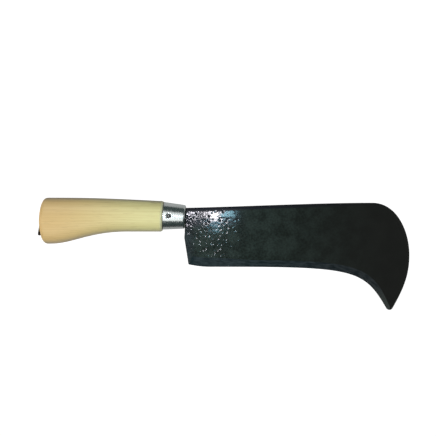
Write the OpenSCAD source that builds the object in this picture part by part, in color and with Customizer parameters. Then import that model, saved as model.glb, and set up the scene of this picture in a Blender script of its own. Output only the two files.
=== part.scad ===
// Billhook: a forged hooked blade whose tang runs through a wooden handle and is clenched
// over its butt, with a tapered steel ferrule that one nail holds. The tool lies on its
// side: X runs from the butt to the nose, Y from the cutting edge to the spine, Z is up.
// Each piece is drawn from the centre of the ferrule's mouth, and on_bench() then moves
// it so that the middle of the tool's footprint is the origin.

/* [Blade outline] */
// Foremost point of the nose, ahead of the ferrule's mouth
blade_len = 241; // [215:1:270]
// Spine above the ferrule's axis, at the heel
spine_up = 9.7; // [9:0.1:12]
// Climb of the spine where it leaves the heel, in degrees
spine_climb = 1.2; // [0:0.1:2]
// Crest of the spine above the ferrule's axis
crest_up = 15.2; // [12:0.1:19]
// From the crest of the spine forward to the foremost point of the nose
nose_len = 39.6; // [30:0.2:50]
// Foremost point of the nose below the ferrule's axis
nose_down = 40.8; // [34:0.2:48]
// Reach of the nose's curve ahead of the crest
nose_reach = 25.5; // [18:0.5:28]
// Reach of the nose's curve above the foremost point
nose_rise = 26.5; // [18:0.5:32]
// Cutting edge below the ferrule's axis
edge_down = 53.7; // [48:0.1:60]
// How far the edge curves up again at the heel
heel_rise = 2.9; // [1:0.1:5]
// Slope of the edge at the heel, in degrees
heel_slope = 16; // [6:1:22]
// From the ferrule's mouth to where the edge runs straight
belly_end = 26; // [20:0.5:40]
// Shoulder below the ferrule's axis, where the heel starts to rake forward
shoulder_down = 22.5; // [18:0.5:30]
// Rake of the heel, in degrees
heel_rake = 8.8; // [0:0.1:14]
// Reach of the edge's straight run before the hook draws it down
edge_lead = 156; // [120:1:170]
// Reach of the hook's curve up from the beak
hook_reach = 49.5; // [35:0.5:56]
// Lowest point of the beak below the ferrule's axis
beak_down = 100; // [92:0.5:108]
// Point of the beak behind the foremost point of the nose
beak_back = 21.5; // [18:0.5:26]
// Angle between the two sides of the beak, in degrees
beak_angle = 60; // [50:1:70]
// Radius of the beak's blunt point
beak_r = 3.9; // [2.5:0.1:5]
// Reach of the beak's back below the foremost point of the nose
back_lead = 18.7; // [12:0.1:24]
// Reach of the beak's back up from its point
back_reach = 28.2; // [20:0.1:32]

/* [Blade section] */
// Thickness of the spine at the heel
heel_t = 5.6; // [5.2:0.1:7]
// Thickness of the spine at the nose
nose_t = 4; // [3.4:0.1:5]
// Thickness that the flat side loses from the spine down to the edge's line
thinning = 1; // [0.2:0.1:1.4]
// Thickness left along the cutting edge
edge_t = 0.4; // [0.3:0.05:0.8]
// Width of the ground bevel at the heel
bevel_heel = 10; // [8:0.1:13]
// Width of the bevel along the middle of the edge and into the hook
bevel_mid = 7.4; // [6:0.1:10]
// Width of the bevel at the beak
bevel_beak = 3.8; // [2:0.1:5]
// From the heel's lower corner to where the grinding starts
bevel_start = 2; // [1:0.1:4]
// Length over which the bevel comes to its full width
bevel_run_in = 5; // [3:0.1:8]
// Rounding of the spine's long corners
spine_r = 1.3; // [0.6:0.1:1.5]

/* [Tang] */
// Width of the tang at the shoulder
tang_w = 14; // [10:0.1:15]
// Fillet between the tang and the shoulder
tang_fillet = 1.5; // [0.5:0.1:2]
// Thickness of the tang and its tail
tang_t = 4.6; // [3.6:0.1:4.8]
// How far the tang drops below the ferrule's axis on its way to the butt
tang_drop = 2.7; // [0:0.1:5]
// Width of the tang where it is bent over the butt
tail_w = 4; // [3.4:0.1:5]
// Width of the tail at its round end
tail_end_w = 3.2; // [2.4:0.1:3.4]
// Inner radius of the bend
bend_r = 1.5; // [1:0.1:3]
// Length of the tail, from the bend to its end
tail_len = 14.5; // [12:0.5:19]
// How far the bend stands out of the butt
tail_proud = 0.9; // [0:0.1:2]
// Angle by which the tail springs away from the butt, in degrees
tail_lean = 9.5; // [0:0.5:12]

/* [Handle] */
// Length of the wood, from the ferrule to the top of the domed butt
handle_len = 131.2; // [118:0.2:160]
// Wood standing above the ferrule where it seats
step_up = 0.9; // [0.8:0.1:3]
// Wood standing below the ferrule where it seats
step_down = 2.2; // [0.8:0.1:3]
// Wood standing beside the ferrule where it seats
step_side = 1.5; // [0.8:0.1:3]
// Depth of the chamfer where the ferrule seats
neck_chamfer = 0.7; // [0.2:0.1:0.7]
// Length of that chamfer
chamfer_len = 1.9; // [0.5:0.1:2.5]
// Underside of the grip below the ferrule's axis
grip_down = 15.9; // [15:0.1:18]
// Thickness of the grip where it is slimmest
grip_t = 32; // [30:0.1:34]
// From the ferrule to where the underside starts to swell
swell_start = 38; // [24:1:50]
// Top of the pommel above the ferrule's axis
pommel_up = 20.9; // [19:0.1:24]
// Underside of the pommel below the ferrule's axis
pommel_down = 28.9; // [24:0.1:32]
// Thickness of the pommel
pommel_t = 33; // [31:0.1:38]
// From the top of the domed butt to the fattest point of the pommel
pommel_len = 11; // [11:0.5:20]
// Radius of the butt's dome
dome_r = 90; // [70:1:120]
// Radius of the butt's rim
rim_r = 5.5; // [4:0.1:7]

/* [Ferrule] */
// Length of the ferrule
ferrule_len = 24; // [20:0.5:30]
// Outer diameter at the wood
ferrule_d = 29.9; // [28:0.1:32]
// Outer diameter at the mouth
mouth_d = 25.5; // [24:0.1:27.5]
// Wall of the sleeve
ferrule_wall = 1.2; // [1:0.1:1.6]
// Lean of the ferrule's axis against the blade, in degrees
ferrule_tilt = 3; // [0:0.5:5]

/* [Ferrule nail] */
// From the wood to the middle of the nail
nail_inset = 7; // [5:0.5:12]
// Diameter of the nail's head
nail_head_d = 4.4; // [3.6:0.1:4.8]
// Height of the nail's head
nail_head_h = 1.4; // [1:0.05:1.6]
// Diameter of the nail's shank
nail_d = 1.9; // [1.4:0.1:2.2]
// Length of the nail under its head
nail_len = 9; // [6:0.5:9]
// Length of the nail's point
nail_point = 2.4; // [1:0.1:3]
// Diameter of the dimple that the head sits in
dimple_d = 6.2; // [5.4:0.1:7]
// Depth of the dimple
dimple_depth = 0.7; // [0.3:0.05:0.8]

/* [Fits] */
// Gap between the ferrule's mouth and the blade's shoulder
shoulder_gap = 0.2; // [0.1:0.05:0.4]
// Gap between the sleeve and the tenon
tenon_fit = 0.05; // [0.02:0.01:0.1]
// How far the tenon stops short of the ferrule's mouth
tenon_short = 0.6; // [0.2:0.1:2]
// Gap between the tang and the wood
tang_fit = 0.1; // [0.05:0.05:0.2]
// Gap round the nail's shank
nail_fit = 0.05; // [0.02:0.01:0.1]

/* [Hidden] */
$fn = 96;
// Larger than the tool, for cutting blocks
far = 400;

// Places along X
neck_x = -ferrule_len;
grip_x = neck_x - swell_start;
butt_x = neck_x - handle_len;
pommel_x = butt_x + pommel_len;
crest_x = blade_len - nose_len;

// Rounding of the ferrule's mouth, and the slope of its wall from there to the wood
lip_r = ferrule_wall / 2;
ferrule_slope = (ferrule_d - mouth_d) / 2 / (ferrule_len - lip_r);

// How far the tenon's cone is rooted in the wood of the grip
tenon_root = 3;

// What the blade's half thickness loses per millimetre forward, and per millimetre down
thin_ahead = (heel_t - nose_t) / 2 / crest_x;
thin_down = thinning / 2 / (spine_up + edge_down);

// Stations of the blade's loft along the belly, the edge and hook, and the blunt point
belly_steps = 14;
hook_steps = 44;
point_steps = 5;
// Stations along the back of the hook: the nose, and the back of the beak
nose_steps = 16;
back_steps = 10;
// The loft starts this far behind the heel, which is then cut to shape
loft_start = -8;
// Height by which the loft stands above the flat sides before they are cut
loft_over = 0.3;

// Points round the handle, and its stations from the pommel to the neck
round_steps = 48;
grip_steps = 22;
rim_steps = 5;

// Unit vector at an angle
function along(angle) = [cos(angle), sin(angle)];

// Vector turned a quarter turn to the left
function left_of(v) = [-v.y, v.x];

function clamp(v, low, high) = min(max(v, low), high);

// Smooth step from 0 to 1
function ease(t) = let (u = clamp(t, 0, 1)) u * u * (3 - 2 * u);

function mix(a, b, t) = a + (b - a) * t;

// Point of a cubic curve
function on_curve(p, t) =
    let (s = 1 - t)
    s^3 * p[0] + 3 * s^2 * t * p[1] + 3 * s * t^2 * p[2] + t^3 * p[3];

// Points of a cubic curve, without its last one
function curve(p, steps) = [for (i = [0:steps - 1]) on_curve(p, i / steps)];

// Points of an arc, with both ends
function arc(centre, r, from, to, steps) = [
    for (i = [0:steps]) centre + r * along(mix(from, to, i / steps))
];

// Direction of a line of points at point i
function heading(line, i) =
    let (v = line[min(i + 1, len(line) - 1)] - line[max(i - 1, 0)])
    v / norm(v);

// Solid over equal rings of points, with a flat cap at each end
module loft(rings) {
    count = len(rings[0]);
    last = len(rings) - 1;
    sides = [
        for (i = [0:last - 1], j = [0:count - 1])
            let (
                k = (j + 1) % count,
                a = i * count + j,
                b = i * count + k,
                c = (i + 1) * count + k,
                d = (i + 1) * count + j
            )
            each [[a, b, c], [a, c, d]]
    ];
    near_cap = [for (j = [count - 1:-1:0]) j];
    far_cap = [for (j = [0:count - 1]) last * count + j];
    polyhedron([for (ring = rings) each ring], concat(sides, [near_cap, far_cap]));
}

// Outline of the blade

// X of the shoulder, which stands square to the ferrule's axis
function shoulder_x(y) =
    shoulder_gap / cos(ferrule_tilt) + y * tan(ferrule_tilt);

// Lower corner of the heel
heel_y = heel_rise - edge_down;
heel_x = shoulder_x(-shoulder_down) + (-shoulder_down - heel_y) * tan(heel_rake);

// Blunt point of the beak: its two sides stop point_rest degrees short of the bottom
point_rest = 10;
beak_centre = [blade_len - beak_back, beak_r - beak_down];
beak_fall = 90 - beak_angle / 2;
edge_angle = 270 - beak_fall;
back_angle = 270 + beak_fall;
edge_foot = beak_centre + beak_r * along(edge_angle);
back_foot = beak_centre + beak_r * along(back_angle);

belly = [
    [heel_x, heel_y],
    [heel_x, heel_y] + (belly_end - heel_x) * 0.3 * along(-heel_slope),
    [belly_end - (belly_end - heel_x) * 0.33, -edge_down],
    [belly_end, -edge_down]
];

hook = [
    belly[3],
    belly[3] + [edge_lead, 0],
    edge_foot - hook_reach * along(-beak_fall),
    edge_foot
];

spine = [
    [0, spine_up],
    [0, spine_up] + crest_x * 0.3 * along(spine_climb),
    [crest_x * 0.7, crest_up],
    [crest_x, crest_up]
];

nose = [
    spine[3],
    spine[3] + [nose_reach, 0],
    [blade_len, nose_rise - nose_down],
    [blade_len, -nose_down]
];

beak_back_line = [
    nose[3],
    nose[3] - [0, back_lead],
    back_foot - back_reach * along(beak_fall - 180),
    back_foot
];

// Cutting edge, from behind the heel to the point of the beak
edge_line = concat(
    [[loft_start, heel_y + (heel_x - loft_start) * tan(heel_slope)]],
    [for (i = [1:belly_steps - 1]) on_curve(belly, i / belly_steps)],
    curve(hook, hook_steps),
    arc(beak_centre, beak_r, edge_angle, 270 - point_rest, point_steps)
);

// The spine, the nose and the back of the beak, one point for each point of the edge.
// Over the belly they stand opposite each other, and then they fan out round the hook.
spine_steps = hook_steps - nose_steps - back_steps;
spine_points = concat(curve(spine, 40), [spine[3]]);
fan_x = belly_end;
back_line = concat(
    [for (i = [0:belly_steps - 1]) [edge_line[i].x, lookup(edge_line[i].x, spine_points)]],
    [
        for (i = [0:spine_steps - 1])
            let (x = mix(fan_x, crest_x, i / spine_steps)) [x, lookup(x, spine_points)]
    ],
    curve(nose, nose_steps),
    curve(beak_back_line, back_steps),
    arc(beak_centre, beak_r, back_angle, 270 + point_rest, point_steps)
);

// Section of the blade

// Half thickness of the flat sides at a point of the outline
function half_t(p) = heel_t / 2 - thin_ahead * p.x - thin_down * (spine_up - p.y);

// Share of its full depth that the grinding has reached near the heel
function ground(x) =
    let (u = clamp((x - heel_x - bevel_start) / bevel_run_in, 0, 1))
    max(sqrt(1 - (1 - u)^2), 0.08);

// Width of the bevel at station i: it narrows after the belly, and again near the beak
function bevel_w(i) =
    let (
        past_belly = (edge_line[i].x - belly_end) / 2 / belly_end,
        into_hook = (i - belly_steps) / hook_steps,
        near_beak = clamp(2.5 * into_hook - 1.5, 0, 1)
    )
    mix(bevel_heel, bevel_mid, ease(past_belly)) + (bevel_beak - bevel_mid) * near_beak^2;

// Section at station i, on the line from the edge to the back, upper half then lower
function blade_ring(i) =
    let (
        edge = edge_line[i],
        back = back_line[i],
        reach = norm(back - edge),
        d = (back - edge) / reach,
        to_edge = d * left_of(heading(edge_line, i)),
        to_back = d * left_of(heading(back_line, i)),
        bevel = min(bevel_w(i) / to_edge, reach / 2) * ground(edge.x),
        round = min(spine_r, reach / 4),
        round_run = min(spine_r / to_back, reach / 4),
        over = min(loft_over, reach * 0.04),
        bevel_top = half_t(edge + d * bevel),
        edge_z = mix(bevel_top, edge_t / 2, ground(edge.x)),
        grow = 1 + over / (bevel_top - edge_z),
        back_z = half_t(back),
        bend = 1 - sqrt(0.5),
        half = [
            [0, edge_z],
            [bevel * grow, mix(edge_z, bevel_top, grow)],
            [reach - round_run - over / tan(22.5) * round_run / round, back_z + over],
            [reach - round_run * bend, back_z - round * bend],
            [reach, back_z - round]
        ]
    )
    concat(
        [for (p = half) [edge.x + d.x * p.x, edge.y + d.y * p.x, p.y]],
        [for (k = [4:-1:0]) let (p = half[k]) [edge.x + d.x * p.x, edge.y + d.y * p.x, -p.y]]
    );

// Everything below the flat upper side of the blade
module below_upper_side() {
    lean_ahead = atan(thin_ahead);
    lean_down = atan(thin_down * cos(lean_ahead));
    translate([0, spine_up, heel_t / 2])
        rotate([lean_down, lean_ahead, 0])
            translate([-far, -far, -far])
                cube([2 * far, 2 * far, far]);
}

// What is cut away behind the heel: a straight shoulder, then the raked heel
module behind_heel() {
    linear_extrude(far, center = true)
        polygon([
            [shoulder_x(far), far],
            [shoulder_x(-shoulder_down), -shoulder_down],
            [heel_x + (heel_y + far) * tan(heel_rake), -far],
            [-far, -far],
            [-far, far]
        ]);
}

// Outline of the tang with its clenched tail, grown by g: the same shape cuts its seat
function tang_outline(g) =
    let (
        half_w = tang_w / 2,
        root = shoulder_x(0),
        turn = 90 - tail_lean,
        outer_r = bend_r + tail_w,
        bend_x = butt_x - tail_proud + outer_r * sin(turn),
        centre = [bend_x, -tang_drop - tail_w / 2 - bend_r],
        down = along(180 + turn),
        out = along(90 + turn),
        end_r = tail_end_w / 2,
        end = centre + out * (outer_r - end_r) + down * (tail_len - end_r)
    )
    concat(
        arc([root - tang_fillet, -half_w - tang_fillet], tang_fillet - g, 90, 0, 6),
        [[root + tang_w / 2, -half_w - tang_fillet], [root + tang_w / 2, half_w + tang_fillet]],
        arc([root - tang_fillet, half_w + tang_fillet], tang_fillet - g, 0, -90, 6),
        arc(centre, outer_r + g, 90, 90 + turn, 12),
        arc(end, end_r + g, 90 + turn, 270 + turn, 12),
        arc(centre, bend_r - g, 90 + turn, 90, 8)
    );

module blade() {
    on_bench() color([0.13, 0.15, 0.15]) {
        difference() {
            intersection() {
                loft([for (i = [0:len(edge_line) - 1]) blade_ring(i)]);
                below_upper_side();
                mirror([0, 0, 1]) below_upper_side();
            }
            behind_heel();
        }
        linear_extrude(tang_t, center = true)
            polygon(tang_outline(0));
    }
}

// Handle

// Height of the ferrule's axis above the mouth's centre, at a place along X
function axis_y(x) = -x * tan(ferrule_tilt);

neck_top = axis_y(neck_x) + ferrule_d / 2 + step_up;
neck_under = axis_y(neck_x) - ferrule_d / 2 - step_down;
neck_side = ferrule_d / 2 + step_side;
swell_len = grip_x - pommel_x;

top_points = concat(
    curve([
        [neck_x, neck_top],
        [neck_x, neck_top] + (handle_len - pommel_len) * 0.3 * along(180 - ferrule_tilt),
        [mix(pommel_x, neck_x, 0.43), pommel_up],
        [pommel_x, pommel_up]
    ], 30),
    [[pommel_x, pommel_up]]
);

under_points = concat(
    [[neck_x, neck_under]],
    curve([
        [grip_x, -grip_down],
        [grip_x - swell_len * 0.5, -grip_down],
        [pommel_x + swell_len * 0.28, -pommel_down],
        [pommel_x, -pommel_down]
    ], 30),
    [[pommel_x, -pommel_down]]
);

// Half thickness of the wood at a place along X
function side_at(x) = x > grip_x
    ? mix(grip_t / 2, neck_side, ease((x - grip_x) / (neck_x - grip_x)))
    : mix(grip_t / 2, pommel_t / 2, ease((grip_x - x) / swell_len));

// Middle, half height and half thickness of the oval section at a place along X
function oval_at(x) =
    let (top = lookup(x, top_points), under = lookup(x, under_points))
    [(top + under) / 2, (top - under) / 2, side_at(x)];

// Section at a place along X, drawn in by inset. Its stations turn with the ferrule's
// axis as they come to the neck.
function wood_ring(x, inset) =
    let (
        oval = oval_at(x),
        turn = tan(ferrule_tilt) * ease((x - grip_x) / (neck_x - grip_x))
    )
    [
        for (j = [0:round_steps - 1])
            let (
                a = 360 * j / round_steps,
                y = oval[0] - (oval[1] - inset) * cos(a),
                z = (oval[2] - inset) * sin(a)
            )
            [x + (y - axis_y(x)) * turn, y, z]
    ];

// Round rim of the butt, t from 0 on the side to 1 where it meets the dome, which is then
// drawn in towards its middle by scale
function butt_ring(t, scale) =
    let (oval = oval_at(pommel_x))
    [
        for (j = [0:round_steps - 1])
            let (
                a = 360 * j / round_steps,
                out = [-cos(a), sin(a)],
                inner = [(oval[1] - rim_r) * out[0], (oval[2] - rim_r) * out[1]],
                deep = norm(inner) / (dome_r - rim_r),
                rise = t * (90 - asin(deep)),
                p = (inner + rim_r * cos(rise) * out) * scale,
                rim_x = butt_x + dome_r - (dome_r - rim_r) * sqrt(1 - deep^2)
                    - rim_r * sin(rise),
                dome_x = butt_x + dome_r - sqrt(dome_r^2 - p * p)
            )
            [scale < 1 ? dome_x : rim_x, oval[0] + p[0], p[1]]
    ];

module handle() {
    grip_end = neck_x - chamfer_len;
    tenon_end = ferrule_len + tenon_root;
    on_bench() color([0.86, 0.79, 0.58]) difference() {
        union() {
            difference() {
                loft(concat(
                    [for (scale = [0.06, 0.3, 0.55, 0.8]) butt_ring(1, scale)],
                    [for (i = [rim_steps:-1:0]) butt_ring(i / rim_steps, 1)],
                    [
                        for (i = [0:grip_steps])
                            wood_ring(mix(pommel_x, grip_end, i / grip_steps), 0)
                    ],
                    [wood_ring(neck_x + chamfer_len, 2 * neck_chamfer)]
                ));
                on_ferrule_axis()
                    translate([-far / 2, -far / 2, 0])
                        cube([far, far, ferrule_len]);
            }
            on_ferrule_axis()
                translate([0, 0, tenon_short])
                    cylinder(
                        h = tenon_end - tenon_short,
                        r1 = bore_r(tenon_short) - tenon_fit,
                        r2 = bore_r(tenon_end) - tenon_fit
                    );
        }
        linear_extrude(tang_t + 2 * tang_fit, center = true)
            polygon(tang_outline(tang_fit));
        at_nail() nail_shank(nail_fit);
    }
}

// Ferrule

// Radius of the outer wall and of the bore, at a distance from the mouth
function wall_r(z) = mouth_d / 2 + ferrule_slope * (z - lip_r);
function bore_r(z) = wall_r(z) - ferrule_wall;

// Moves a piece drawn along Z onto the ferrule's axis, from the mouth towards the wood,
// with its X side down
module on_ferrule_axis() {
    rotate([180, 90, -ferrule_tilt])
        children();
}

module ferrule() {
    on_bench() color([0.78, 0.8, 0.8]) difference() {
        on_ferrule_axis()
            rotate_extrude()
                polygon(concat(
                    arc([mouth_d / 2 - lip_r, lip_r], lip_r, 0, -180, 10),
                    [[ferrule_d / 2 - ferrule_wall, ferrule_len], [ferrule_d / 2, ferrule_len]]
                ));
        at_nail() {
            dimple();
            nail_shank(nail_fit);
        }
    }
}

// Ferrule nail

// Moves a piece drawn along Z to the nail's place, square to the ferrule's outer face
module at_nail() {
    from_mouth = ferrule_len - nail_inset;
    on_ferrule_axis()
        translate([-wall_r(from_mouth), 0, from_mouth])
            rotate([0, -90 - atan(ferrule_slope), 0])
                children();
}

// Punched dimple: flat where the head sits, and flared up to the ferrule's face
module dimple() {
    seat_r = nail_head_d / 2 + nail_fit;
    flare = (dimple_d / 2 - seat_r) / dimple_depth;
    above = 1;
    translate([0, 0, -dimple_depth])
        cylinder(h = dimple_depth + above, r1 = seat_r, r2 = dimple_d / 2 + flare * above);
}

// Shank and point of the nail, grown by g
module nail_shank(g) {
    translate([0, 0, -dimple_depth]) mirror([0, 0, 1]) {
        cylinder(h = nail_len - nail_point, d = nail_d + 2 * g);
        translate([0, 0, nail_len - nail_point])
            cylinder(h = nail_point + g, d1 = nail_d + 2 * g, d2 = 0);
    }
}

module ferrule_nail() {
    rim = nail_head_h * 0.2;
    head_r = nail_head_d / 2;
    crown = nail_head_h - rim;
    crown_r = (head_r^2 + crown^2) / 2 / crown;
    on_bench() at_nail() color([0.55, 0.57, 0.57]) {
        translate([0, 0, -dimple_depth]) intersection() {
            cylinder(h = nail_head_h, r = head_r);
            translate([0, 0, nail_head_h - crown_r])
                sphere(r = crown_r);
        }
        nail_shank(0);
    }
}

// Middle of the tool's footprint, and the height of its axis over the bench
tang_xs = [for (p = tang_outline(0)) p.x];
edge_ys = [for (p = edge_line) p.y];
low = [min(min(tang_xs), butt_x), min(edge_ys)];
high = [blade_len, max(pommel_up, crest_up)];
axis_up = max(pommel_t / 2, neck_side);

module on_bench() {
    translate([-(low.x + high.x) / 2, -(low.y + high.y) / 2, axis_up])
        children();
}

blade();
handle();
ferrule();
ferrule_nail();
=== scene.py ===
"""Billhook: the finish of its blade, handle, ferrule and nail, on a light table."""

import math

import bmesh
import bpy
import numpy as np
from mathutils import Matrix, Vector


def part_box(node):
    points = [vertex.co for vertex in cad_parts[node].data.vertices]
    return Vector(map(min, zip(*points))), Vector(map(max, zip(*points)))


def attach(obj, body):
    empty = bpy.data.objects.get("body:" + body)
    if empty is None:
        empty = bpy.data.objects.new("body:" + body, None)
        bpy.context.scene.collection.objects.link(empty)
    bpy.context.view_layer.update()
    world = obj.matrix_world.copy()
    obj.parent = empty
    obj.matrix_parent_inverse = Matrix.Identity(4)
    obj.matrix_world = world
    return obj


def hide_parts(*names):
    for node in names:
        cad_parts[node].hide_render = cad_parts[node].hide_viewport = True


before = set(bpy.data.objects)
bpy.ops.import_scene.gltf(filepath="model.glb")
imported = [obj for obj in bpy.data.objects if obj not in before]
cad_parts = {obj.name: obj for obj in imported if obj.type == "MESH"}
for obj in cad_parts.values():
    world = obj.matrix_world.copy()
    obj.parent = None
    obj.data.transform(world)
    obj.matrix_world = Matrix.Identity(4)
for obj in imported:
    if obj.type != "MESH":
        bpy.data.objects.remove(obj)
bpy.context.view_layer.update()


# Blade
# One forging of steel, lacquered black. Its heel still shows the hammer, its flats were
# planished smooth ahead of it, and a bevel is ground along the edge and round the hook.
# The tang runs through the handle, and its tail is bent over the butt.

MM = 0.001

# Outline in millimetres from the middle of the ferrule's mouth, as the solid has it
blade_len = 241.0
spine_up = 9.7
spine_climb = 1.2
crest_up = 15.2
nose_len = 39.6
nose_down = 40.8
nose_reach = 25.5
nose_rise = 26.5
edge_down = 53.7
heel_rise = 2.9
heel_slope = 16.0
belly_end = 26.0
shoulder_down = 22.5
shoulder_gap = 0.2
heel_rake = 8.8
edge_lead = 156.0
hook_reach = 49.5
beak_down = 100.0
beak_back = 21.5
beak_angle = 60.0
beak_r = 3.9
point_rest = 10.0
back_lead = 18.7
back_reach = 28.2
axis_tilt = math.radians(3.0)

# Section
heel_t = 5.6
nose_t = 4.0
thinning = 1.0
edge_t = 0.4
bevel_heel = 10.0
bevel_mid = 7.4
bevel_beak = 3.8
bevel_start = 2.0
bevel_run_in = 5.0
spine_r = 1.3
heel_r = 0.7
roll_off = 0.34
roll_off_w = 4.8
back_left = 0.3

# How the hook's back is shared out among its spine, nose and beak, as shares of the hook
spine_share = 18 / 44
nose_share = 16 / 44

# Where the hammer marks start to fade out, ahead of the heel, and where they end
marks_full = 42.0
marks_end = 70.0


def along(angle):
    return np.array([math.cos(math.radians(angle)), math.sin(math.radians(angle))])


def cubic(points, t):
    """Points of a cubic curve at the values t."""
    a, b, c, d = (np.asarray(p, float) for p in points)
    t = np.asarray(t, float)[..., None]
    s = 1 - t
    return s**3 * a + 3 * s**2 * t * b + 3 * s * t**2 * c + t**3 * d


def ease(t):
    u = np.clip(t, 0, 1)
    return u * u * (3 - 2 * u)


def mix(a, b, t):
    return a + (b - a) * t


def shoulder_x(y):
    return shoulder_gap / math.cos(axis_tilt) + y * math.tan(axis_tilt)


crest_x = blade_len - nose_len
heel_y = heel_rise - edge_down
heel_x = shoulder_x(-shoulder_down) + (-shoulder_down - heel_y) * math.tan(math.radians(heel_rake))
beak_centre = np.array([blade_len - beak_back, beak_r - beak_down])
beak_fall = 90 - beak_angle / 2
edge_foot = beak_centre + beak_r * along(270 - beak_fall)
back_foot = beak_centre + beak_r * along(270 + beak_fall)

belly_curve = [
    (heel_x, heel_y),
    np.array([heel_x, heel_y]) + (belly_end - heel_x) * 0.3 * along(-heel_slope),
    (belly_end - (belly_end - heel_x) * 0.33, -edge_down),
    (belly_end, -edge_down),
]
hook_curve = [
    (belly_end, -edge_down),
    (belly_end + edge_lead, -edge_down),
    edge_foot - hook_reach * along(-beak_fall),
    edge_foot,
]
spine_curve = [
    (0, spine_up),
    np.array([0, spine_up]) + crest_x * 0.3 * along(spine_climb),
    (crest_x * 0.7, crest_up),
    (crest_x, crest_up),
]
nose_curve = [
    (crest_x, crest_up),
    (crest_x + nose_reach, crest_up),
    (blade_len, nose_rise - nose_down),
    (blade_len, -nose_down),
]
beak_back_curve = [
    (blade_len, -nose_down),
    (blade_len, -nose_down - back_lead),
    back_foot - back_reach * along(beak_fall - 180),
    back_foot,
]
spine_points = cubic(spine_curve, np.linspace(0, 1, 200))


def spine_y(x):
    return np.interp(x, spine_points[:, 0], spine_points[:, 1])


def back_of_hook(t):
    """The back of the blade opposite each place t along the hook."""
    on_spine = mix(belly_end, crest_x, t / spine_share)
    on_nose = cubic(nose_curve, np.clip((t - spine_share) / nose_share, 0, 1))
    beak_share = 1 - spine_share - nose_share
    on_beak = cubic(beak_back_curve, np.clip((t - spine_share - nose_share) / beak_share, 0, 1))
    back = np.stack([on_spine, spine_y(on_spine)], -1)
    back = np.where((t > spine_share)[:, None], on_nose, back)
    return np.where((t > spine_share + nose_share)[:, None], on_beak, back)


def spaced(edge, back, step):
    """Values from 0 to 1 that space the lines from edge to back about step apart."""
    longest = np.maximum(
        np.linalg.norm(np.diff(edge, axis=0), axis=1),
        np.linalg.norm(np.diff(back, axis=0), axis=1),
    )
    way = np.concatenate([[0], np.cumsum(longest / step)])
    count = int(math.ceil(way[-1]))
    return np.interp(np.linspace(0, way[-1], count + 1), way, np.linspace(0, 1, len(way)))


# Lines across the blade, from the heel to the point of the beak
fine = np.linspace(0, 1, 2000)
hook_t = spaced(cubic(hook_curve, fine), back_of_hook(fine), 0.6 + 0.9 * ease(fine[1:] * 5))
belly_u = np.concatenate([[0, 0.006, 0.016, 0.032], np.linspace(0.052, 1, 56)[:-1]])
point_u = np.linspace(0, 1, 9)[1:]
top_x = mix(shoulder_x(spine_up), belly_end, belly_u)
edge = np.concatenate([
    cubic(belly_curve, belly_u),
    cubic(hook_curve, hook_t),
    [beak_centre + beak_r * along(mix(270 - beak_fall, 270 - point_rest, u)) for u in point_u],
])
back = np.concatenate([
    np.stack([top_x, spine_y(top_x)], -1),
    back_of_hook(hook_t),
    [beak_centre + beak_r * along(mix(270 + beak_fall, 270 + point_rest, u)) for u in point_u],
])
# How far each line still follows the bent heel, and how far into the hook it is
heel_bend = np.concatenate([1 - belly_u, np.zeros(len(hook_t) + len(point_u))])
into_hook = np.concatenate([0 * belly_u, hook_t, 1 + 0 * point_u])


def turned_left(line):
    way = np.gradient(line, axis=0)
    way /= np.linalg.norm(way, axis=1)[:, None]
    return np.stack([-way[:, 1], way[:, 0]], -1)


reach = np.linalg.norm(back - edge, axis=1)
across = (back - edge) / reach[:, None]
to_edge = np.abs((across * turned_left(edge)).sum(1))
to_back = np.abs((across * turned_left(back)).sum(1))
start = np.clip((edge[:, 0] - heel_x - bevel_start) / bevel_run_in, 0, 1)
ground = np.maximum(np.sqrt(1 - (1 - start) ** 2), 0.08)
bevel_w = mix(bevel_heel, bevel_mid, ease((edge[:, 0] - belly_end) / 2 / belly_end))
bevel_w += (bevel_beak - bevel_mid) * np.clip(2.5 * into_hook - 1.5, 0, 1) ** 2
bevel = np.minimum(bevel_w / to_edge, reach / 2) * ground
corner = np.minimum(spine_r, reach / 4)
corner_run = np.minimum(spine_r / to_back, reach / 4)


def half_t(x, y):
    """Half thickness of the flat sides."""
    thin_ahead = (heel_t - nose_t) / 2 / crest_x
    thin_down = thinning / 2 / (spine_up + edge_down)
    return heel_t / 2 - thin_ahead * x - thin_down * (spine_up - y)


# Rows from the edge to the back: over the bevel, over the flat, and round the spine's corner
bevel_rows = np.linspace(0, 1, 11)
flat_rows = np.linspace(0, 1, 111)[1:]
corner_rows = np.radians(np.linspace(0, 90, 7)[1:])
offset = np.concatenate([
    bevel[:, None] * bevel_rows,
    mix(bevel[:, None], (reach - corner_run)[:, None], flat_rows),
    (reach - corner_run)[:, None] + corner_run[:, None] * np.sin(corner_rows),
], axis=1)
plan = edge[:, None, :] + across[:, None, :] * offset[..., None]

# The heel is bent at the lower end of the shoulder, and the first lines follow it
chord_x = plan[0, :, 0]
heel_line_x = np.where(
    plan[0, :, 1] > -shoulder_down,
    shoulder_x(plan[0, :, 1]),
    heel_x - (plan[0, :, 1] - heel_y) * math.tan(math.radians(heel_rake)),
)
plan[..., 0] += heel_bend[:, None] * (heel_line_x - chord_x)

side_z = half_t(plan[..., 0], plan[..., 1])
bevel_top = side_z[:, len(bevel_rows) - 1][:, None]
edge_z = mix(bevel_top, edge_t / 2, ground[:, None])
height = side_z.copy()
height[:, :len(bevel_rows)] = mix(edge_z, bevel_top, bevel_rows)
corner_deep = np.minimum(corner, side_z[:, -1] - roll_off - back_left)
height[:, -len(corner_rows):] -= corner_deep[:, None] * (1 - np.cos(corner_rows))
from_back = reach[:, None] - offset
height -= roll_off * np.clip(1 - from_back / roll_off_w, 0, 1) ** 2
from_heel = plan[..., 0] - plan[:1, :, 0]
rounded = np.clip(heel_r - from_heel, 0, heel_r)
height -= heel_r - np.sqrt(heel_r**2 - rounded**2)

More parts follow.
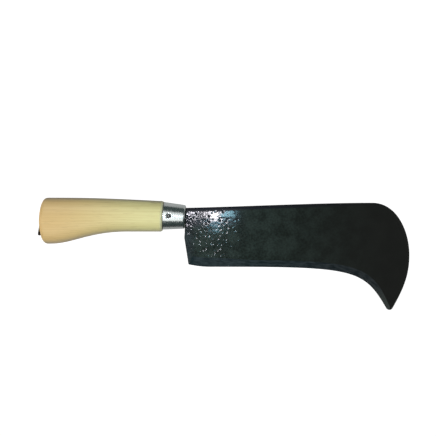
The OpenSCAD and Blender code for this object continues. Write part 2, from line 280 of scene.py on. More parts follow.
# The frame gives the place of the ferrule's mouth: all millimetres count from there
blade_low, blade_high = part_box("blade")
beak_low = beak_down - beak_r * (1 - math.cos(math.radians(point_rest)))
mouth = np.array([
    blade_high.x - blade_len * MM,
    blade_low.y + beak_low * MM,
    (blade_low.z + blade_high.z) / 2,
])


def mesh_object(name, points, faces):
    """An object at the origin, with its points given in millimetres from the mouth."""
    mesh = bpy.data.meshes.new(name)
    mesh.from_pydata((mouth + np.asarray(points) * MM).tolist(), [], faces)
    mesh.validate()
    piece = bpy.data.objects.new(name, mesh)
    bpy.context.scene.collection.objects.link(piece)
    return piece


def strip(first, second):
    """Quads between two lines of point numbers."""
    return [
        (int(first[i]), int(first[i + 1]), int(second[i + 1]), int(second[i]))
        for i in range(len(first) - 1)
    ]


lines, rows = height.shape
upper = np.arange(lines * rows).reshape(lines, rows)
lower = upper + lines * rows
blade_points = np.concatenate([
    np.dstack([plan, height]).reshape(-1, 3),
    np.dstack([plan, -height]).reshape(-1, 3),
])
blade_faces = []
for i in range(lines - 1):
    blade_faces += strip(upper[i], upper[i + 1])
    blade_faces += strip(lower[i + 1], lower[i])
blade_faces += strip(upper[:, -1], lower[:, -1])
blade_faces += strip(lower[:, 0], upper[:, 0])
blade_faces += strip(lower[0], upper[0])
blade_faces += strip(upper[-1], lower[-1])
blade = mesh_object("forged_blade", blade_points, blade_faces)

# Attributes that the marks and the finish follow: how strongly the hammer shows, where
# the bevel lies (1 at its shoulder), the way along the edge and the way down from the spine
fade = 1 - ease((plan[..., 0] - marks_full) / (marks_end - marks_full))
off_bevel = ease((offset - bevel[:, None]) / 3)
off_back = 0.1 + 0.9 * ease((from_back - 2.2) / 2)
shallower = 0.9 + 0.1 * ease((plan[..., 1] + 30) / 26)
at_heel = 1 + 0.5 * (1 - ease(from_heel / 6))
hammered = (0.07 + 0.93 * fade) * off_bevel * off_back * shallower * at_heel
on_bevel = np.where(
    offset <= bevel[:, None],
    offset / bevel[:, None],
    1 + (offset - bevel[:, None]) / bevel_mid,
)
edge_way = np.concatenate([[0], np.cumsum(np.linalg.norm(np.diff(edge, axis=0), axis=1))])
ways = {
    "hammered": hammered,
    "on_bevel": on_bevel,
    "edge_way": np.repeat(edge_way[:, None], rows, axis=1),
    "from_spine": from_back,
}
for name, values in ways.items():
    attribute = blade.data.attributes.new(name, "FLOAT", "POINT")
    attribute.data.foreach_set("value", np.tile(values.reshape(-1), 2).astype(np.float32))


def recalculated(piece):
    """Faces outwards, on a mesh whose doubles are merged."""
    work = bmesh.new()
    work.from_mesh(piece.data)
    bmesh.ops.remove_doubles(work, verts=work.verts, dist=1e-7)
    bmesh.ops.recalc_face_normals(work, faces=work.faces)
    if work.calc_volume(signed=True) < 0:
        bmesh.ops.reverse_faces(work, faces=work.faces)
    work.to_mesh(piece.data)
    work.free()
    return piece


recalculated(blade)

# Tang and tail, seen from above
tang_w = 14.0
tang_t = 4.6
tang_drop = 2.7
tail_w = 4.0
tail_end_w = 3.2
bend_r = 1.5
tail_len = 14.5
tail_proud = 0.9
tail_lean = 9.5
handle_len = 131.2
ferrule_len = 24.0
butt_x = -ferrule_len - handle_len


def arc(centre, r, start_angle, end_angle, steps):
    return [np.asarray(centre) + r * along(a) for a in np.linspace(start_angle, end_angle, steps + 1)]


def tang_outline(grow, root_x):
    """Outline of the tang and its clenched tail, grown all round."""
    turn = 90 - tail_lean
    outer_r = bend_r + tail_w
    bend = np.array([
        butt_x - tail_proud + outer_r * math.sin(math.radians(turn)),
        -tang_drop - tail_w / 2 - bend_r,
    ])
    out = along(90 + turn)
    down = along(180 + turn)
    end_r = tail_end_w / 2
    end = bend + out * (outer_r - end_r) + down * (tail_len - end_r)
    return (
        [(root_x, -tang_w / 2 - grow), (root_x, tang_w / 2 + grow)]
        + arc(bend, outer_r + grow, 90, 90 + turn, 14)
        + arc(end, end_r + grow, 90 + turn, 270 + turn, 12)
        + arc(bend, bend_r - grow, 90 + turn, 90, 10)
    )


def slab(name, outline, thickness):
    """A flat bar of that outline, with its middle plane through the tool's axis."""
    count = len(outline)
    points = [(*p, z) for z in (-thickness / 2, thickness / 2) for p in outline]
    around = [(i, (i + 1) % count, (i + 1) % count + count, i + count) for i in range(count)]
    faces = around + [tuple(range(count))[::-1], tuple(range(count, 2 * count))]
    return recalculated(mesh_object(name, points, faces))


def cut_or_join(piece, tool, operation):
    """A boolean with a tool piece, applied, after which the tool is removed."""
    change = piece.modifiers.new("change", "BOOLEAN")
    change.object = tool
    change.operation = operation
    change.solver = "EXACT"
    bpy.context.view_layer.update()
    made = bpy.data.meshes.new_from_object(piece.evaluated_get(bpy.context.evaluated_depsgraph_get()))
    piece.modifiers.clear()
    piece.data = made
    bpy.data.objects.remove(tool)


tang = slab("tang", tang_outline(0, 3.0), tang_t)
for name, value in (("hammered", 0.0), ("on_bevel", 2.0), ("edge_way", 0.0), ("from_spine", 20.0)):
    attribute = tang.data.attributes.new(name, "FLOAT", "POINT")
    attribute.data.foreach_set("value", np.full(len(tang.data.vertices), value, np.float32))
rounding = tang.modifiers.new("rounding", "BEVEL")
rounding.width = 0.5 * MM
rounding.segments = 2
rounding.limit_method = "ANGLE"
cut_or_join(blade, tang, "UNION")


def node(tree, kind, inputs=None, **settings):
    """A node with its settings, and its inputs set to values or linked to sockets."""
    made = tree.nodes.new(kind)
    for key, value in settings.items():
        setattr(made, key, value)
    for key, value in (inputs or {}).items():
        if isinstance(value, bpy.types.NodeSocket):
            tree.links.new(value, made.inputs[key])
        else:
            made.inputs[key].default_value = value
    return made


def math_node(tree, operation, a, b=0.0, clamp=False):
    return node(tree, "ShaderNodeMath", {0: a, 1: b}, operation=operation, use_clamp=clamp).outputs[0]


def geometry_tree(name, sizes):
    """A geometry node tree with a geometry in and out, and a float input for each size."""
    tree = bpy.data.node_groups.new(name, "GeometryNodeTree")
    tree.interface.new_socket("Geometry", in_out="INPUT", socket_type="NodeSocketGeometry")
    for size in sizes:
        tree.interface.new_socket(size, in_out="INPUT", socket_type="NodeSocketFloat")
    tree.interface.new_socket("Material", in_out="INPUT", socket_type="NodeSocketMaterial")
    tree.interface.new_socket("Geometry", in_out="OUTPUT", socket_type="NodeSocketGeometry")
    return tree, tree.nodes.new("NodeGroupInput")


def end_tree(tree, given, geometry):
    whole = node(tree, "GeometryNodeRealizeInstances", {"Geometry": geometry})
    painted = node(tree, "GeometryNodeSetMaterial", {
        "Geometry": whole.outputs[0], "Material": given.outputs["Material"],
    })
    tree.links.new(painted.outputs[0], tree.nodes.new("NodeGroupOutput").inputs[0])


def apply_tree(piece, tree, values):
    """Runs the tree on the piece with its named values, and keeps the result as a plain mesh."""
    change = piece.modifiers.new(tree.name, "NODES")
    change.node_group = tree
    for item in tree.interface.items_tree:
        if item.in_out == "INPUT" and item.name in values:
            change[item.identifier] = values[item.name]
    bpy.context.view_layer.update()
    made = bpy.data.meshes.new_from_object(piece.evaluated_get(bpy.context.evaluated_depsgraph_get()))
    made.name = piece.name
    finished = bpy.data.objects.new(piece.name, made)
    bpy.context.scene.collection.objects.link(finished)
    name = piece.name
    bpy.data.objects.remove(piece)
    finished.name = name
    return finished


# Hammer marks: small round dents, in a face that the blows have left gently wavy
marks, given = geometry_tree("hammer_marks", ["Dent Size", "Dent Depth", "Wave Size", "Wave Depth", "Seed"])
place = node(marks, "GeometryNodeInputPosition").outputs[0]
strength = node(marks, "GeometryNodeInputNamedAttribute", {"Name": "hammered"}, data_type="FLOAT").outputs[0]
per_dent = math_node(marks, "DIVIDE", 1.0, given.outputs["Dent Size"])
dents = node(marks, "ShaderNodeTexVoronoi", {
    "Vector": place, "W": given.outputs["Seed"], "Scale": per_dent,
}, voronoi_dimensions="4D", feature="F1")
flank = node(marks, "ShaderNodeMapRange", {
    "Value": dents.outputs["Distance"], "From Min": 0.1, "From Max": 0.52,
}, interpolation_type="SMOOTHSTEP").outputs[0]
waves = node(marks, "ShaderNodeTexNoise", {
    "Vector": place,
    "W": given.outputs["Seed"],
    "Scale": math_node(marks, "DIVIDE", 1.0, given.outputs["Wave Size"]),
    "Detail": 3.0, "Roughness": 0.7,
}, noise_dimensions="4D")
# No two blows are alike: each dent has its own depth
blow = node(marks, "ShaderNodeSeparateXYZ", {0: dents.outputs["Color"]}).outputs["X"]
blow = math_node(marks, "MULTIPLY", math_node(marks, "ADD", blow, 0.35), given.outputs["Dent Depth"])
depth = math_node(
    marks, "ADD",
    math_node(marks, "MULTIPLY", math_node(marks, "SUBTRACT", flank, 1.0), blow),
    math_node(
        marks, "MULTIPLY",
        math_node(marks, "SUBTRACT", waves.outputs[0], 0.5), given.outputs["Wave Depth"],
    ),
)
lift = node(marks, "ShaderNodeVectorMath", {
    0: node(marks, "GeometryNodeInputNormal").outputs[0],
    "Scale": math_node(marks, "MULTIPLY", depth, strength),
}, operation="SCALE")
struck = node(marks, "GeometryNodeSetPosition", {
    "Geometry": given.outputs["Geometry"], "Offset": lift.outputs[0],
})
smooth = node(marks, "GeometryNodeSetShadeSmooth", {"Geometry": struck.outputs[0]})
end_tree(marks, given, smooth.outputs[0])


def material(name):
    made = bpy.data.materials.new(name)
    made.use_nodes = True
    return made, made.node_tree, made.node_tree.nodes["Principled BSDF"]


def ramp(tree, factor, low, high):
    """The factor spread from low to high, clamped to between 0 and 1."""
    return node(tree, "ShaderNodeMapRange", {
        "Value": factor, "From Min": low, "From Max": high,
    }, interpolation_type="SMOOTHSTEP").outputs[0]


def blended(tree, factor, first, second):
    return node(tree, "ShaderNodeMix", {0: factor, 6: first, 7: second}, data_type="RGBA").outputs[2]


def attribute_of(tree, name):
    return node(tree, "ShaderNodeAttribute", attribute_name=name).outputs["Fac"]


lacquer, tree, shader = material("black_lacquer")
place = node(tree, "ShaderNodeTexCoord").outputs["Object"]
strength = attribute_of(tree, "hammered")
bevel_place = attribute_of(tree, "on_bevel")
way = attribute_of(tree, "edge_way")
from_spine = attribute_of(tree, "from_spine")
sides = node(tree, "ShaderNodeSeparateXYZ", {0: place})
ahead = ramp(tree, sides.outputs["X"], float(mouth[0]), float(mouth[0]) + 0.23)
patches = node(tree, "ShaderNodeTexNoise", {"Vector": place, "Scale": 70.0, "Detail": 4.0}).outputs[0]
grit = node(tree, "ShaderNodeTexNoise", {"Vector": place, "Scale": 900.0, "Detail": 3.0}).outputs[0]
scale = ramp(tree, node(tree, "ShaderNodeTexNoise", {"Vector": place, "Scale": 520.0, "Detail": 3.0}).outputs[0], 0.32, 0.68)
pits = node(tree, "ShaderNodeTexVoronoi", {"Vector": place, "Scale": 420.0}, feature="SMOOTH_F1")
uneven = math_node(tree, "ADD", math_node(tree, "MULTIPLY", scale, 0.5), math_node(tree, "MULTIPLY", ramp(tree, patches, 0.38, 0.62), 0.5))
# The heel was heated and quenched: blue-black near the spine and down the shoulder
by_shoulder = ramp(tree, sides.outputs["X"], float(mouth[0]) + 0.013, float(mouth[0]) + 0.004)
blued = math_node(tree, "MAXIMUM", ramp(tree, from_spine, 26.0, 14.0), math_node(tree, "MULTIPLY", by_shoulder, 0.5))
blued = math_node(tree, "MULTIPLY", blued, ramp(tree, sides.outputs["X"], float(mouth[0]) + 0.066, float(mouth[0]) + 0.044))
near_heel = blended(
    tree, uneven,
    blended(tree, blued, (0.0062, 0.0115, 0.009, 1), (0.0085, 0.0095, 0.0145, 1)),
    blended(tree, blued, (0.028, 0.0445, 0.0385, 1), (0.0305, 0.042, 0.0525, 1)),
)
# Painted shade: a darker, bluer band along the spine, where its rounding turns away from the light
near_heel = blended(tree, ramp(tree, from_spine, 4.6, 3.0), near_heel, (0.009, 0.0115, 0.0175, 1))
near_nose = blended(tree, patches, (0.0095, 0.01, 0.0092, 1), (0.013, 0.0135, 0.0122, 1))
flat_colour = blended(tree, ahead, near_heel, near_nose)
grind = node(tree, "ShaderNodeTexNoise", {
    "Vector": node(tree, "ShaderNodeCombineXYZ", {
        "X": math_node(tree, "MULTIPLY", way, 0.12), "Y": math_node(tree, "MULTIPLY", bevel_place, 4.0),
    }).outputs[0],
    "Scale": 1.0, "Detail": 4.0, "Roughness": 0.6,
}).outputs[0]
grain = ramp(tree, grind, 0.36, 0.64)
ground_colour = blended(
    tree, ahead,
    blended(tree, grain, (0.0075, 0.0165, 0.0195, 1), (0.0225, 0.037, 0.0415, 1)),
    blended(tree, grain, (0.0085, 0.0115, 0.013, 1), (0.0265, 0.0305, 0.033, 1)),
)
on_beak = ramp(tree, sides.outputs["Y"], float(mouth[1]) - 0.07, float(mouth[1]) - 0.092)
ground_colour = blended(tree, on_beak, ground_colour, (0.033, 0.038, 0.035, 1))
bevel_mask = math_node(tree, "SUBTRACT", 1.0, ramp(tree, bevel_place, 0.97, 1.03))
colour = blended(tree, bevel_mask, flat_colour, ground_colour)
scorched = ramp(tree, sides.outputs["X"], float(mouth[0]) - 0.12, float(mouth[0]) - 0.15)
colour = blended(tree, scorched, colour, blended(tree, patches, (0.02, 0.012, 0.007, 1), (0.045, 0.03, 0.02, 1)))
rough = math_node(tree, "ADD", math_node(tree, "MULTIPLY", grit, 0.14), 0.24)
by_rim = math_node(tree, "ADD", 0.25, ramp(tree, sides.outputs["X"], float(mouth[0]) + 0.02, float(mouth[0]) + 0.006))
relief = math_node(tree, "MULTIPLY", pits.outputs["Distance"], math_node(tree, "MULTIPLY", strength, by_rim))
relief = math_node(tree, "ADD", relief, math_node(tree, "MULTIPLY", grit, 0.03))
relief = math_node(tree, "ADD", relief, math_node(
    tree, "MULTIPLY", math_node(tree, "MULTIPLY", grind, bevel_mask), 0.25,
))
bump = node(tree, "ShaderNodeBump", {"Height": relief, "Strength": 0.35, "Distance": 0.0003})
tree.links.new(colour, shader.inputs["Base Color"])
tree.links.new(rough, shader.inputs["Roughness"])
tree.links.new(bump.outputs[0], shader.inputs["Normal"])
tree.links.new(math_node(tree, "ADD", math_node(tree, "MULTIPLY", strength, 0.36), 0.05), shader.inputs["Coat Weight"])
shader.inputs["IOR"].default_value = 1.13
shader.inputs["Coat Roughness"].default_value = 0.075

blade = apply_tree(blade, marks, {
    "Dent Size": 0.0031,
    "Dent Depth": 0.00013,
    "Wave Size": 0.014,
    "Wave Depth": 0.00016,
    "Seed": 3.0,
    "Material": lacquer,
})
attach(blade, "root")
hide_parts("blade")


# Handle
# A pale, straight-grained hardwood grip, spindle-shaped on its own sander: round where the
# ferrule seats, oval in the hand, and swelling down to the pommel. It is sealed with a thin
# satin varnish. The tang's hole and the seat of its tail are burnt and cut in.

step_up = 0.9
step_down = 2.2
step_side = 1.5
neck_chamfer = 0.7
chamfer_len = 1.9
grip_down = 15.9
grip_t = 32.0
swell_start = 38.0
pommel_up = 20.9
pommel_down = 28.9
pommel_t = 33.0
pommel_len = 11.0
dome_r = 90.0
rim_r = 5.5
ferrule_d = 29.9
mouth_d = 25.5
ferrule_wall = 1.2
tenon_fit = 0.05
tenon_short = 0.6
tang_fit = 0.1
lip_r = ferrule_wall / 2
ferrule_slope = (ferrule_d - mouth_d) / 2 / (ferrule_len - lip_r)

neck_x = -ferrule_len
grip_x = neck_x - swell_start
pommel_x = butt_x + pommel_len
swell_len = grip_x - pommel_x
sin_tilt, cos_tilt = math.sin(axis_tilt), math.cos(axis_tilt)


def axis_y(x):
    return -x * math.tan(axis_tilt)


def wall_r(from_mouth):
    """Outer radius of the ferrule at a distance from its mouth."""
    return mouth_d / 2 + ferrule_slope * (from_mouth - lip_r)


neck_top = axis_y(neck_x) + ferrule_d / 2 + step_up
neck_under = axis_y(neck_x) - ferrule_d / 2 - step_down
top_points = cubic([
    (neck_x, neck_top),
    np.array([neck_x, neck_top])
    + (handle_len - pommel_len) * 0.3 * along(180 - math.degrees(axis_tilt)),
    (mix(pommel_x, neck_x, 0.43), pommel_up),
    (pommel_x, pommel_up),
], np.linspace(1, 0, 120))
under_points = np.concatenate([
    cubic([
        (grip_x, -grip_down),
        (grip_x - swell_len * 0.5, -grip_down),
        (pommel_x + swell_len * 0.28, -pommel_down),
        (pommel_x, -pommel_down),
    ], np.linspace(1, 0, 120)),
    [(neck_x, neck_under)],
])
around = np.linspace(0, 2 * math.pi, 144, endpoint=False)


def oval_at(x):
    """Middle, half height and half thickness of the wood at a place along X."""
    top = np.interp(x, top_points[:, 0], top_points[:, 1])
    under = np.interp(x, under_points[:, 0], under_points[:, 1])
    if x > grip_x:
        side = mix(grip_t / 2, ferrule_d / 2 + step_side, ease((x - grip_x) / (neck_x - grip_x)))
    else:
        side = mix(grip_t / 2, pommel_t / 2, ease((grip_x - x) / swell_len))
    return (top + under) / 2, (top - under) / 2, side


def wood_ring(x, inset=0.0):
    """Section of the grip, turned with the ferrule's axis as it comes to the neck."""
    middle, half_y, half_z = oval_at(x)
    turn = math.tan(axis_tilt) * ease((x - grip_x) / (neck_x - grip_x))
    y = middle - (half_y - inset) * np.cos(around)
    z = (half_z - inset) * np.sin(around)
    return np.stack([x + (y - axis_y(x)) * turn, y, z], -1)


def butt_ring(t, shrink):
    """Section of the butt's round rim, t from 0 on the side to 1 at the dome, then shrunk."""
    middle, half_y, half_z = oval_at(pommel_x)
    out = np.stack([-np.cos(around), np.sin(around)], -1)
    inner = np.stack([(half_y - rim_r) * out[:, 0], (half_z - rim_r) * out[:, 1]], -1)
    deep = np.linalg.norm(inner, axis=1) / (dome_r - rim_r)
    rise = t * (math.pi / 2 - np.arcsin(deep))
    flat = (inner + rim_r * np.cos(rise)[:, None] * out) * shrink
    rim_x = butt_x + dome_r - (dome_r - rim_r) * np.sqrt(1 - deep**2) - rim_r * np.sin(rise)
    dome_x = butt_x + dome_r - np.sqrt(dome_r**2 - (flat**2).sum(1))
    return np.stack([dome_x if shrink < 1 else rim_x, middle + flat[:, 0], flat[:, 1]], -1)


def on_axis(from_mouth, radius):
    """Round ring about the ferrule's axis."""
    middle = np.array([-cos_tilt, sin_tilt]) * from_mouth
    y = -radius * np.cos(around)
    return np.stack([
        middle[0] + y * sin_tilt,
        middle[1] + y * cos_tilt,
        radius * np.sin(around),
    ], -1)


def square_to_axis(ring, from_mouth):
    """The ring moved along X into the plane that stands square on the ferrule's axis."""
    ring = ring.copy()
    ring[:, 0] = (ring[:, 1] * sin_tilt - from_mouth) / cos_tilt
    return ring


def loft(name, rings):
    """A closed skin over rings of equal count, with a round cap at each end."""
    count = len(rings[0])
    points = np.concatenate([*rings, [rings[0].mean(0)], [rings[-1].mean(0)]])
    faces = []
    for i in range(len(rings) - 1):
        for j in range(count):
            k = (j + 1) % count
            faces.append((i * count + j, i * count + k, (i + 1) * count + k, (i + 1) * count + j))
    first, last = len(points) - 2, len(points) - 1
    base = (len(rings) - 1) * count
    for j in range(count):
        k = (j + 1) % count
        faces.append((first, k, j))
        faces.append((last, base + j, base + k))
    return recalculated(mesh_object(name, points, faces))


neck_edge = wood_ring(neck_x, neck_chamfer)
wood_rings = [butt_ring(1, shrink) for shrink in np.linspace(0.05, 0.97, 14)]
wood_rings += [butt_ring(t, 1) for t in np.linspace(1, 0, 12)]
wood_rings += [wood_ring(x) for x in np.linspace(pommel_x, neck_x - chamfer_len, 120)[1:]]
wood_rings += [
    square_to_axis(wood_ring(neck_x, neck_chamfer * 0.5), ferrule_len + chamfer_len * 0.5),
    square_to_axis(neck_edge, ferrule_len),
    on_axis(ferrule_len, wall_r(ferrule_len) - ferrule_wall - tenon_fit),
    on_axis(tenon_short + 0.5, wall_r(tenon_short) - ferrule_wall - tenon_fit),
    on_axis(tenon_short, wall_r(tenon_short) - ferrule_wall - tenon_fit - 0.5),
    on_axis(tenon_short, 4.0),
]
handle = loft("wooden_handle", wood_rings)
seat = slab("seat", tang_outline(tang_fit, 2.0), tang_t + 2 * tang_fit)
cut_or_join(handle, seat, "DIFFERENCE")

# The sander leaves the wood very slightly uneven, and its pores stay a little open
sanded, given = geometry_tree("sanded_by_hand", ["Wave Size", "Wave Depth", "Seed"])
place = node(sanded, "GeometryNodeInputPosition").outputs[0]
waves = node(sanded, "ShaderNodeTexNoise", {
    "Vector": node(sanded, "ShaderNodeVectorMath", {0: place, 1: (0.35, 1.0, 1.0)}, operation="MULTIPLY").outputs[0],
    "W": given.outputs["Seed"],
    "Scale": math_node(sanded, "DIVIDE", 1.0, given.outputs["Wave Size"]),
    "Detail": 1.0,
}, noise_dimensions="4D")
inward = math_node(sanded, "MULTIPLY", waves.outputs[0], given.outputs["Wave Depth"])
lift = node(sanded, "ShaderNodeVectorMath", {
    0: node(sanded, "GeometryNodeInputNormal").outputs[0],
    "Scale": math_node(sanded, "MULTIPLY", inward, -1.0),
}, operation="SCALE")
# Only the grip is sanded: the neck's face and the tenon stay as they were turned
along_x = node(sanded, "ShaderNodeSeparateXYZ", {0: place}).outputs["X"]
on_grip = math_node(sanded, "LESS_THAN", along_x, float(mouth[0]) + (neck_x - 3.0) * MM)
even = node(sanded, "GeometryNodeSetPosition", {
    "Geometry": given.outputs["Geometry"], "Selection": on_grip, "Offset": lift.outputs[0],
})
smooth = node(sanded, "GeometryNodeSetShadeSmooth", {"Geometry": even.outputs[0]})
end_tree(sanded, given, smooth.outputs[0])

wood, tree, shader = material("varnished_wood")
place = node(tree, "ShaderNodeTexCoord").outputs["Object"]
laid = node(tree, "ShaderNodeMapping", {
    "Vector": place, "Location": (0.0, 0.03, 0.06), "Rotation": (0.35, 0.012, 0.02),
}).outputs[0]
bowed = node(tree, "ShaderNodeTexNoise", {
    "Vector": node(tree, "ShaderNodeVectorMath", {0: laid, 1: (0.16, 1.0, 1.0)}, operation="MULTIPLY").outputs[0],
    "Scale": 30.0, "Detail": 2.0,
})
parts = node(tree, "ShaderNodeSeparateXYZ", {0: laid})
pith = node(tree, "ShaderNodeVectorMath", {
    0: node(tree, "ShaderNodeCombineXYZ", {"Y": parts.outputs["Y"], "Z": parts.outputs["Z"]}).outputs[0],
}, operation="LENGTH").outputs["Value"]
ring_way = math_node(tree, "ADD", pith, math_node(tree, "MULTIPLY", bowed.outputs[0], 0.006))
year = math_node(tree, "FRACT", math_node(tree, "MULTIPLY", ring_way, 430.0))
late = math_node(tree, "POWER", year, 4.0)
fibres = node(tree, "ShaderNodeTexNoise", {
    "Vector": node(tree, "ShaderNodeVectorMath", {0: laid, 1: (9.0, 520.0, 520.0)}, operation="MULTIPLY").outputs[0],
    "Scale": 1.0, "Detail": 3.0, "Roughness": 0.6,
}).outputs[0]
pores = node(tree, "ShaderNodeTexNoise", {
    "Vector": node(tree, "ShaderNodeVectorMath", {0: laid, 1: (70.0, 1500.0, 1500.0)}, operation="MULTIPLY").outputs[0],
    "Scale": 1.0, "Detail": 1.0,
}).outputs[0]
pore = ramp(tree, pores, 0.62, 0.74)
sides = node(tree, "ShaderNodeSeparateXYZ", {0: place})
to_butt = ramp(
    tree, sides.outputs["X"],
    float(mouth[0]) + neck_x * MM, float(mouth[0]) + butt_x * MM,
)
pale = blended(tree, to_butt, (0.756, 0.714, 0.344, 1), (0.7175, 0.5075, 0.224, 1))
deep = blended(tree, to_butt, (0.674, 0.616, 0.281, 1), (0.6425, 0.4325, 0.178, 1))
streaks = math_node(tree, "ADD", math_node(tree, "MULTIPLY", fibres, 0.75), math_node(tree, "MULTIPLY", late, 0.35))
colour = blended(tree, ramp(tree, streaks, 0.2, 0.85), pale, deep)
colour = blended(tree, math_node(tree, "MULTIPLY", pore, 0.35), colour, (0.42, 0.27, 0.12, 1))
# The chamfer at the neck shows bare, greyer end grain
from_mouth = node(tree, "ShaderNodeVectorMath", {
    0: node(tree, "ShaderNodeVectorMath", {0: place, 1: tuple(mouth)}, operation="SUBTRACT").outputs[0],
    1: (-cos_tilt, sin_tilt, 0.0),
}, operation="DOT_PRODUCT").outputs["Value"]
chamfered = ramp(tree, from_mouth, (ferrule_len + chamfer_len + 0.3) * MM, (ferrule_len + chamfer_len - 0.3) * MM)
colour = blended(tree, math_node(tree, "MULTIPLY", chamfered, 0.7), colour, (0.55, 0.585, 0.385, 1))
# Painted shade: the sides, about the wood's middle height, are made greyer and darker, where they turn away from the
# light
from_middle = math_node(tree, "ABSOLUTE", math_node(tree, "SUBTRACT", sides.outputs["Z"], float(mouth[2])))
painted_side_shade = math_node(tree, "MULTIPLY", ramp(tree, from_middle, 0.0105, 0.004), 0.45)
colour = blended(tree, painted_side_shade, colour, (0.5, 0.45, 0.35, 1))
# The butt's rounding cuts across the grain and is a little warmer
rounded_end = ramp(tree, sides.outputs["X"], float(mouth[0]) + (butt_x + 7.0) * MM, float(mouth[0]) + (butt_x + 3.0) * MM)
colour = blended(tree, math_node(tree, "MULTIPLY", rounded_end, 0.35), colour, (0.76, 0.47, 0.17, 1))
bump = node(tree, "ShaderNodeBump", {
    "Height": math_node(tree, "SUBTRACT", math_node(tree, "MULTIPLY", fibres, 0.5), pore),
    "Strength": 0.25, "Distance": 0.0002,
})
rough = math_node(tree, "ADD", math_node(tree, "MULTIPLY", fibres, 0.12), 0.4)
tree.links.new(colour, shader.inputs["Base Color"])
tree.links.new(rough, shader.inputs["Roughness"])
tree.links.new(bump.outputs[0], shader.inputs["Normal"])
shader.inputs["Coat Weight"].default_value = 0.18
shader.inputs["Coat Roughness"].default_value = 0.3

handle = apply_tree(handle, sanded, {
    "Wave Size": 0.03,
    "Wave Depth": 0.0003,
    "Seed": 5.0,
    "Material": wood,
})
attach(handle, "root")
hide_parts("handle")


# Ferrule
# A tapered sleeve of sheet steel, nickel-plated, with its mouth rolled round. It is driven
# over the tenon and held by one nail, whose dimple a punch has sunk into the upper side.

nail_inset = 7.0
dimple_r = 3.4
dimple_depth = 0.75
roll_r = 2.3
roll_turn = 60.0

# A turned piece: its profile curve, as radius and way along the axis, carried round
turned, given = geometry_tree("turned", ["Profile Steps", "Round Steps"])
web = node(turned, "GeometryNodeMeshGrid", {
    "Size X": 1.0,
    "Size Y": 1.0,
    "Vertices X": given.outputs["Round Steps"],
    "Vertices Y": given.outputs["Profile Steps"],
})
web_place = node(turned, "ShaderNodeSeparateXYZ", {0: node(turned, "GeometryNodeInputPosition").outputs[0]})
share = math_node(turned, "ADD", web_place.outputs["Y"], 0.5, clamp=True)
profile = node(turned, "GeometryNodeSampleCurve", {
    "Curves": given.outputs["Geometry"], "Factor": share,
}, mode="FACTOR", use_all_curves=True)
profile_place = node(turned, "ShaderNodeSeparateXYZ", {0: profile.outputs["Position"]})
angle = math_node(turned, "MULTIPLY", math_node(turned, "ADD", web_place.outputs["X"], 0.5), 2 * math.pi)
round_place = node(turned, "ShaderNodeCombineXYZ", {
    "X": math_node(turned, "MULTIPLY", profile_place.outputs["X"], math_node(turned, "COSINE", angle)),
    "Y": math_node(turned, "MULTIPLY", profile_place.outputs["X"], math_node(turned, "SINE", angle)),
    "Z": profile_place.outputs["Y"],
})
carried = node(turned, "GeometryNodeSetPosition", {
    "Geometry": web.outputs["Mesh"], "Position": round_place.outputs[0],
})
closed = node(turned, "GeometryNodeMergeByDistance", {"Geometry": carried.outputs[0], "Distance": 1e-6})
smooth = node(turned, "GeometryNodeSetShadeSmooth", {"Geometry": closed.outputs[0]})
end_tree(turned, given, smooth.outputs[0])


def turned_piece(name, profile_points, profile_steps, round_steps, finish):
    """Turns a profile, in millimetres, about its own Z axis."""
    curve = bpy.data.curves.new(name, "CURVE")
    line = curve.splines.new("POLY")
    line.points.add(len(profile_points) - 1)
    for point, (radius, way_along) in zip(line.points, profile_points):
        point.co = (radius * MM, way_along * MM, 0, 1)
    curve.dimensions = "3D"
    piece = bpy.data.objects.new(name, curve)
    bpy.context.scene.collection.objects.link(piece)
    return recalculated(apply_tree(piece, turned, {
        "Profile Steps": float(profile_steps),
        "Round Steps": float(round_steps),
        "Material": finish,
    }))


def to_world(piece, origin, x_way, z_way):
    """Bakes a place into the piece's mesh: its own Z along z_way and X along x_way."""
    y_way = np.cross(z_way, x_way)
    co = np.zeros(len(piece.data.vertices) * 3)
    piece.data.vertices.foreach_get("co", co)
    co = co.reshape(-1, 3) @ np.array([x_way, y_way, z_way]) + mouth + np.asarray(origin) * MM
    piece.data.vertices.foreach_set("co", co.reshape(-1))
    piece.data.update()
    return piece


axis_way = np.array([-cos_tilt, sin_tilt, 0])
up_way = np.array([0.0, 0.0, 1.0])

# Fine lines left by polishing, as a mask from 0 to 1, with a slow cloud over them
polish = bpy.data.node_groups.new("polish_lines", "ShaderNodeTree")
polish.interface.new_socket("Vector", in_out="INPUT", socket_type="NodeSocketVector")
polish.interface.new_socket("Along", in_out="INPUT", socket_type="NodeSocketFloat")
polish.interface.new_socket("Across", in_out="INPUT", socket_type="NodeSocketFloat")
polish.interface.new_socket("Lines", in_out="OUTPUT", socket_type="NodeSocketFloat")
polish.interface.new_socket("Cloud", in_out="OUTPUT", socket_type="NodeSocketFloat")
given = polish.nodes.new("NodeGroupInput")
stretched = node(polish, "ShaderNodeVectorMath", {
    0: given.outputs["Vector"],
    1: node(polish, "ShaderNodeCombineXYZ", {
        "X": given.outputs["Along"], "Y": given.outputs["Across"], "Z": given.outputs["Across"],
    }).outputs[0],
}, operation="MULTIPLY").outputs[0]
lines_noise = node(polish, "ShaderNodeTexNoise", {"Vector": stretched, "Scale": 1.0, "Detail": 3.0}).outputs[0]
cloud_noise = node(polish, "ShaderNodeTexNoise", {
    "Vector": given.outputs["Vector"], "Scale": 160.0, "Detail": 2.0,
}).outputs[0]
result = polish.nodes.new("NodeGroupOutput")
polish.links.new(lines_noise, result.inputs["Lines"])
polish.links.new(cloud_noise, result.inputs["Cloud"])


